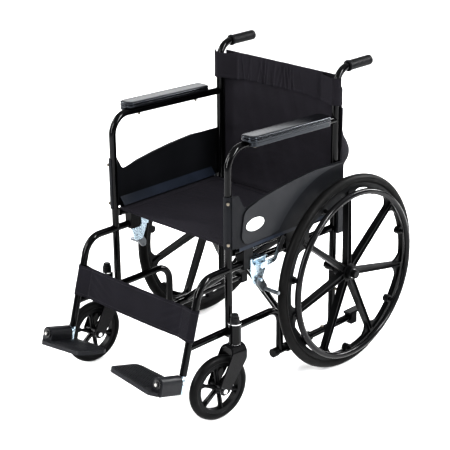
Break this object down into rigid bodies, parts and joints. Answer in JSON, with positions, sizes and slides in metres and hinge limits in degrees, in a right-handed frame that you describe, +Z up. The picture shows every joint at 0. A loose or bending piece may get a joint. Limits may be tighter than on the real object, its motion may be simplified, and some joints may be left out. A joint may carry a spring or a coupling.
{
  "type": "manual wheelchair",
  "caption": "Folding steel wheelchair with large moulded rear wheels and handrims, front casters, armrests, wheel locks and flip-up footplates",
  "frame": {"origin": "on the floor, under the centre of the chair's bounding box", "axes": "+Z is up, +X is the sitter's left, and the sitter faces -Y"},
  "size_m": [0.679, 1.0705, 0.9411],
  "materials": {
    "black_tube": "gloss black powder coat on steel tube",
    "fork_coat": "satin black powder coat on pressed steel",
    "handrim_coat": "gloss black coated steel tube",
    "panel_plastic": "satin charcoal moulded plastic",
    "pad_skin": "semi-gloss skinned foam",
    "grip_rubber": "ribbed black rubber",
    "tyre": "solid black rubber",
    "caster_tyre": "solid black rubber",
    "wheel_plastic": "matt dark grey moulded nylon",
    "cap_plastic": "black moulded plastic",
    "strip_plastic": "dark bluish plastic strip",
    "footplate_plastic": "black moulded plastic, ribbed tread",
    "screw_steel": "plated steel",
    "axle_steel": "plated steel",
    "bearing_steel": "bright steel",
    "zinc_steel": "bluish zinc-plated steel",
    "seat_fabric": "black woven nylon"
  },
  "bodies": {
    "left_side": {"left_side_frame": "black_tube", "left_side_panel": "panel_plastic", "left_frame_screws": "screw_steel", "left_armrest_pad": "pad_skin", "left_push_grip": "grip_rubber", "left_wheel_axle": "axle_steel", "left_caster_bearings": "bearing_steel", "left_caster_dust_cap": "cap_plastic", "left_wheel_lock_bracket": "zinc_steel", "left_seat_saddles": "cap_plastic", "left_rail_end_caps": "cap_plastic", "left_back_upholstery": "seat_fabric", "calf_strap": "seat_fabric"},
    "left_wheel": {"left_tyre": "tyre", "left_mag_wheel": "wheel_plastic", "left_handrim": "handrim_coat", "left_wheel_bearings": "bearing_steel"},
    "left_fork": {"left_caster_fork": "fork_coat", "left_caster_axle": "axle_steel"},
    "left_caster": {"left_caster_wheel": "wheel_plastic", "left_caster_tyre": "caster_tyre"},
    "left_lock_lever": {"left_wheel_lock_lever": "zinc_steel", "left_wheel_lock_grip": "cap_plastic"},
    "left_lock_arm": {"left_wheel_lock_shoe_arm": "zinc_steel"},
    "left_footrest": {"left_footrest_post": "zinc_steel", "left_footplate_bolt": "screw_steel"},
    "left_footplate_leaf": {"left_footplate": "footplate_plastic"},
    "right_side": {"right_side_frame": "black_tube", "right_side_panel": "panel_plastic", "right_frame_screws": "screw_steel", "right_armrest_pad": "pad_skin", "right_push_grip": "grip_rubber", "right_wheel_axle": "axle_steel", "right_caster_bearings": "bearing_steel", "right_caster_dust_cap": "cap_plastic", "right_wheel_lock_bracket": "zinc_steel", "right_seat_saddles": "cap_plastic", "right_rail_end_caps": "cap_plastic", "right_back_upholstery": "seat_fabric"},
    "right_wheel": {"right_tyre": "tyre", "right_mag_wheel": "wheel_plastic", "right_handrim": "handrim_coat", "right_wheel_bearings": "bearing_steel"},
    "right_fork": {"right_caster_fork": "fork_coat", "right_caster_axle": "axle_steel"},
    "right_caster": {"right_caster_wheel": "wheel_plastic", "right_caster_tyre": "caster_tyre"},
    "right_lock_lever": {"right_wheel_lock_lever": "zinc_steel", "right_wheel_lock_grip": "cap_plastic"},
    "right_lock_arm": {"right_wheel_lock_shoe_arm": "zinc_steel"},
    "right_footrest": {"right_footrest_post": "zinc_steel", "right_footplate_bolt": "screw_steel"},
    "right_footplate_leaf": {"right_footplate": "footplate_plastic"},
    "front_brace": {"front_cross_brace": "black_tube", "brace_bolt": "screw_steel", "right_seat_edge_strip": "strip_plastic", "right_seat_sling": "seat_fabric"},
    "rear_brace": {"rear_cross_brace": "black_tube", "left_seat_edge_strip": "strip_plastic", "left_seat_sling": "seat_fabric"}
  },
  "joints": [
    {"name": "fold", "type": "hinge", "parent": "left_side", "child": "front_brace", "pos_m": [0.238, 0.07825, 0.103], "axis": [0, 1, 0], "range_deg": [0, 39], "deforming": ["left_seat_sling", "right_seat_sling", "left_back_upholstery", "right_back_upholstery", "calf_strap"]},
    {"name": "fold_scissor", "type": "hinge", "parent": "front_brace", "child": "rear_brace", "pos_m": [0, 0.07825, 0.291], "axis": [0, 1, 0], "range_deg": [-78, 0]},
    {"name": "fold_right_frame", "type": "hinge", "parent": "rear_brace", "child": "right_side", "pos_m": [-0.238, 0.07825, 0.103], "axis": [0, 1, 0], "range_deg": [0, 39]},
    {"name": "left_wheel_spin", "type": "hinge", "parent": "left_side", "child": "left_wheel", "pos_m": [0.299, 0.23025, 0.305], "axis": [1, 0, 0], "continuous": true},
    {"name": "left_caster_swivel", "type": "hinge", "parent": "left_side", "child": "left_fork", "pos_m": [0.2735, -0.23375, 0.25], "axis": [0, 0, 1], "continuous": true},
    {"name": "left_caster_spin", "type": "hinge", "parent": "left_fork", "child": "left_caster", "pos_m": [0.26473, -0.29614, 0.099], "axis": [0.9903, -0.1392, 0], "continuous": true},
    {"name": "left_wheel_lock", "type": "hinge", "parent": "left_side", "child": "left_lock_lever", "pos_m": [0.265, -0.11475, 0.424], "axis": [1, 0, 0], "range_deg": [0, 45]},
    {"name": "left_wheel_lock_shoe", "type": "hinge", "parent": "left_side", "child": "left_lock_arm", "pos_m": [0.256, -0.11675, 0.376], "axis": [1, 0, 0], "range_deg": [0, 37.2]},
    {"name": "left_footrest_height", "type": "slide", "parent": "left_side", "child": "left_footrest", "axis": [0, -0.2699, -0.9629], "range_m": [0, 0.04]},
    {"name": "left_footplate_flip", "type": "hinge", "parent": "left_footrest", "child": "left_footplate_leaf", "pos_m": [0.238, -0.41161, 0.15067], "axis": [0, 0.9629, -0.2699], "range_deg": [0, 82.01]},
    {"name": "right_wheel_spin", "type": "hinge", "parent": "right_side", "child": "right_wheel", "pos_m": [-0.299, 0.23025, 0.305], "axis": [1, 0, 0], "continuous": true},
    {"name": "right_caster_swivel", "type": "hinge", "parent": "right_side", "child": "right_fork", "pos_m": [-0.2735, -0.23375, 0.25], "axis": [0, 0, 1], "continuous": true},
    {"name": "right_caster_spin", "type": "hinge", "parent": "right_fork", "child": "right_caster", "pos_m": [-0.27735, -0.29663, 0.099], "axis": [0.9981, -0.061, 0], "continuous": true},
    {"name": "right_wheel_lock", "type": "hinge", "parent": "right_side", "child": "right_lock_lever", "pos_m": [-0.265, -0.11475, 0.424], "axis": [1, 0, 0], "range_deg": [0, 45]},
    {"name": "right_wheel_lock_shoe", "type": "hinge", "parent": "right_side", "child": "right_lock_arm", "pos_m": [-0.256, -0.11675, 0.376], "axis": [1, 0, 0], "range_deg": [0, 37.2]},
    {"name": "right_footrest_height", "type": "slide", "parent": "right_side", "child": "right_footrest", "axis": [0, -0.2699, -0.9629], "range_m": [0, 0.04]},
    {"name": "right_footplate_flip", "type": "hinge", "parent": "right_footrest", "child": "right_footplate_leaf", "pos_m": [-0.238, -0.41161, 0.15067], "axis": [0, -0.9629, 0.2699], "range_deg": [0, 82.01]}
  ],
  "couplings": [
    {"joint": "fold_scissor", "follows": "fold", "ratio": -2},
    {"joint": "fold_right_frame", "follows": "fold", "ratio": 1},
    {"joint": "left_wheel_lock_shoe", "follows": "left_wheel_lock", "ratio": 0.82},
    {"joint": "left_footplate_flip", "follows": "fold", "ratio": 2.1026},
    {"joint": "right_wheel_lock_shoe", "follows": "right_wheel_lock", "ratio": 0.82},
    {"joint": "right_footplate_flip", "follows": "fold", "ratio": 2.1026}
  ]
}
